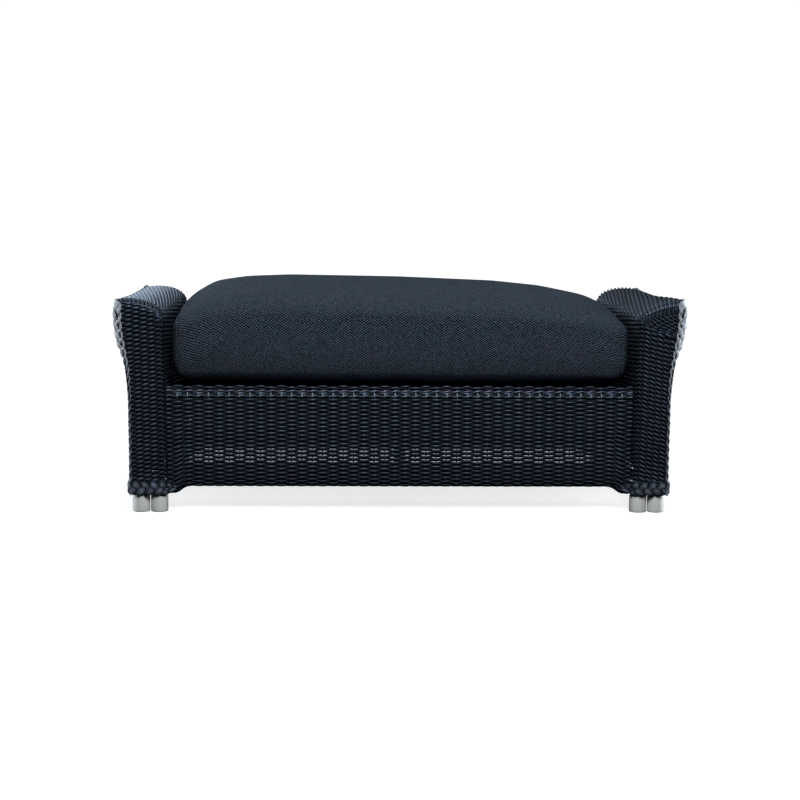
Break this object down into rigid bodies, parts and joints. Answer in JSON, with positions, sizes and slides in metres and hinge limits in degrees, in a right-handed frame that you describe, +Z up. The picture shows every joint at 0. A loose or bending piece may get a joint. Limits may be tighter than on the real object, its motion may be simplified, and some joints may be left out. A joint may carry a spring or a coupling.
{
  "type": "outdoor ottoman footstool",
  "caption": "Low woven ottoman with outward-flared woven arms, a woven apron front and back, paired round feet and a loose crowned seat cushion.",
  "frame": {"origin": "on the floor, under the middle of the ottoman", "axes": "+Z up, front of the ottoman towards -Y, +X to the right seen from the front"},
  "size_m": [1.1116, 0.6126, 0.4449],
  "materials": {
    "weave": "satin dark navy resin strand",
    "braid": "satin dark navy resin strand, plaited",
    "frame": "dark powder coat",
    "foot": "satin pale grey",
    "strap": "matt black elastic webbing",
    "fabric": "chunky slate navy outdoor weave",
    "foam": "pale foam in a fibre wrap",
    "zip": "dark moulded zip"
  },
  "bodies": {
    "frame": {"back_apron_panel": "weave", "back_apron_rail": "frame", "back_centre_post": "frame", "back_seat_rail": "frame", "deck_cross_strap_1": "strap", "deck_cross_strap_2": "strap", "deck_cross_strap_3": "strap", "deck_strap_1": "strap", "deck_strap_2": "strap", "deck_strap_3": "strap", "deck_strap_4": "strap", "deck_strap_5": "strap", "deck_strap_6": "strap", "front_apron_panel": "weave", "front_apron_rail": "frame", "front_centre_post": "frame", "front_seat_rail": "frame", "left_arm_base_braid": "braid", "left_arm_edge_braid": "braid", "left_arm_lower_inner_rail": "frame", "left_arm_lower_outer_rail": "frame", "left_arm_side_panel": "weave", "left_arm_top_inner_rail": "frame", "left_arm_top_outer_rail": "frame", "left_arm_wrap": "weave", "left_back_inner_foot": "foot", "left_back_leg_hoop": "frame", "left_back_outer_foot": "foot", "left_front_inner_foot": "foot", "left_front_leg_hoop": "frame", "left_front_outer_foot": "foot", "left_seat_side_rail": "frame", "right_arm_base_braid": "braid", "right_arm_edge_braid": "braid", "right_arm_lower_inner_rail": "frame", "right_arm_lower_outer_rail": "frame", "right_arm_side_panel": "weave", "right_arm_top_inner_rail": "frame", "right_arm_top_outer_rail": "frame", "right_arm_wrap": "weave", "right_back_inner_foot": "foot", "right_back_leg_hoop": "frame", "right_back_outer_foot": "foot", "right_front_inner_foot": "foot", "right_front_leg_hoop": "frame", "right_front_outer_foot": "foot", "right_seat_side_rail": "frame", "seat_brace": "frame"},
    "cushion": {"cushion_cover": "fabric", "cushion_foam_core": "foam", "zip_chain": "zip"},
    "zip_slider": {"zip_slider": "zip"},
    "zip_pull": {"zip_pull": "zip"}
  },
  "joints": [
    {"name": "cushion_lift", "type": "slide", "parent": "frame", "child": "cushion", "axis": [0, 0, 1], "range_m": [0, 0.2]},
    {"name": "zip_travel", "type": "slide", "parent": "cushion", "child": "zip_slider", "axis": [-1, 0, 0], "range_m": [0, 0.568]},
    {"name": "zip_pull_swing", "type": "hinge", "parent": "zip_slider", "child": "zip_pull", "pos_m": [0.284, 0.2934, 0.301], "axis": [0, 1, 0], "range_deg": [-100, 100]}
  ]
}
